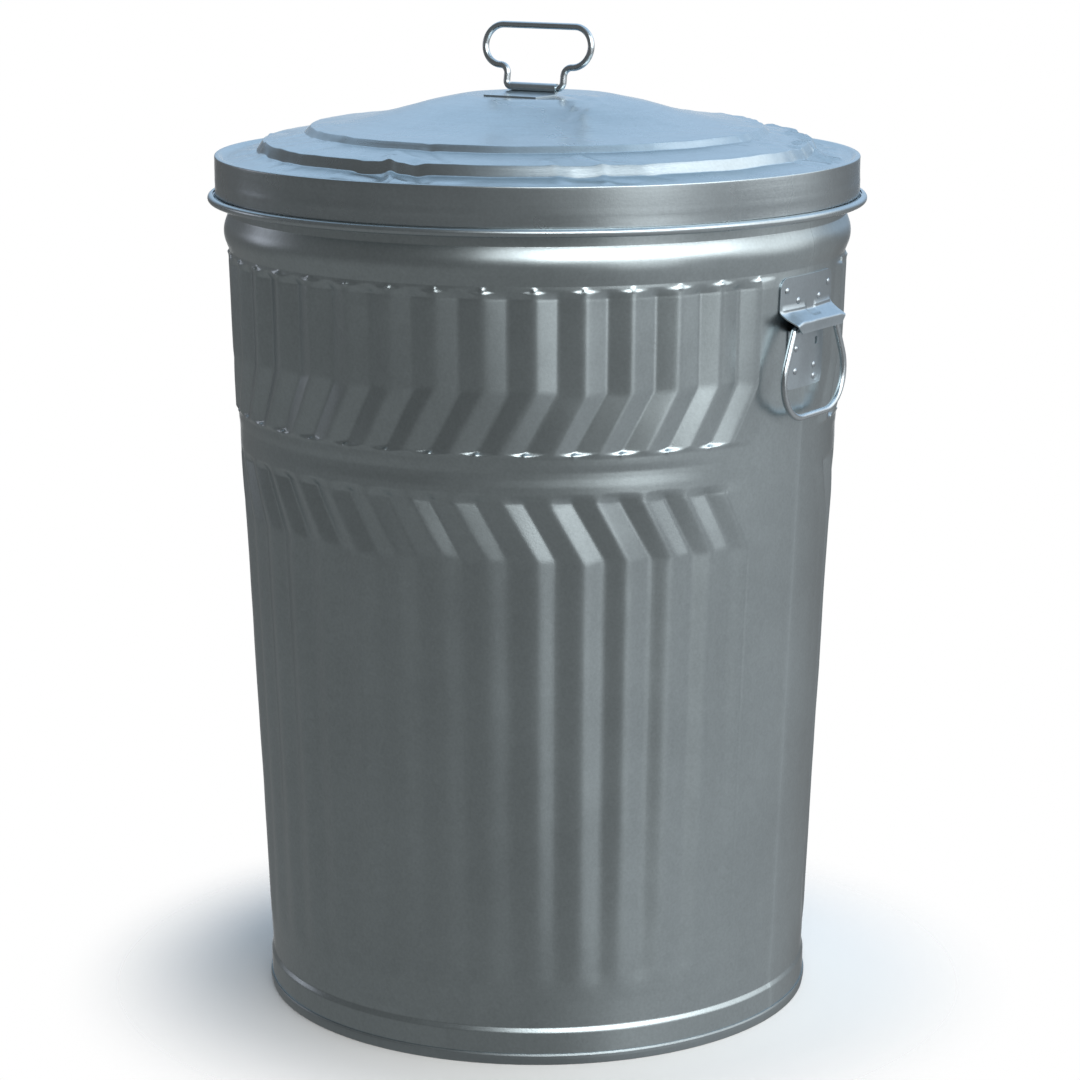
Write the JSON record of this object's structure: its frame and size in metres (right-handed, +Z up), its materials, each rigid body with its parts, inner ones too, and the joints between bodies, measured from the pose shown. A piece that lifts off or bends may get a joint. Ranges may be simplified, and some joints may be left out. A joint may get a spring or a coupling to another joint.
{
  "type": "galvanized trash can with lid",
  "caption": "Round ribbed sheet-steel trash can with a lift-off stepped lid, a wire handle on the lid and a bail handle under a hood on each side.",
  "frame": {"origin": "middle of the base, on the floor", "axes": "+Z up along the can's axis; +X through the right side handle; -Y towards the middle of the front half of the wall"},
  "size_m": [0.541, 0.541, 0.8112],
  "materials": {
    "body_sheet": "galvanised sheet",
    "rim_wire": "galvanised wire",
    "pan_sheet": "galvanised sheet",
    "lid_sheet": "galvanised sheet",
    "strap_sheet": "galvanised strip",
    "handle_wire": "zinc-plated wire",
    "rivets": "plain steel",
    "handle_plates": "galvanised sheet"
  },
  "bodies": {
    "can": {"body_shell_front": "body_sheet", "body_shell_rear": "body_sheet", "body_rim_wire": "rim_wire", "bottom_pan": "pan_sheet", "handle_hood_right": "handle_plates", "handle_hood_left": "handle_plates", "handle_clip_right": "handle_plates", "handle_clip_left": "handle_plates", "handle_rivets_right": "rivets", "handle_rivets_left": "rivets"},
    "bail_right": {"side_bail_right": "handle_wire"},
    "bail_left": {"side_bail_left": "handle_wire"},
    "lid": {"lid_shell": "lid_sheet", "lid_rim_wire": "rim_wire", "lid_handle_strap": "strap_sheet"},
    "lid_handle": {"lid_handle_wire": "handle_wire"}
  },
  "joints": [
    {"name": "bail_right_swing", "type": "hinge", "parent": "can", "child": "bail_right", "pos_m": [0.259, 0, 0.5846], "axis": [0, -1, 0], "range_deg": [-4, 50]},
    {"name": "bail_left_swing", "type": "hinge", "parent": "can", "child": "bail_left", "pos_m": [-0.259, 0, 0.5846], "axis": [0, 1, 0], "range_deg": [-4, 50]},
    {"name": "lid_lift", "type": "slide", "parent": "can", "child": "lid", "axis": [0, 0, 1], "range_m": [0, 0.6]},
    {"name": "lid_handle_fold", "type": "hinge", "parent": "lid", "child": "lid_handle", "pos_m": [0, -0.0045, 0.75865], "axis": [1, 0, 0], "range_deg": [-80, 97]}
  ]
}
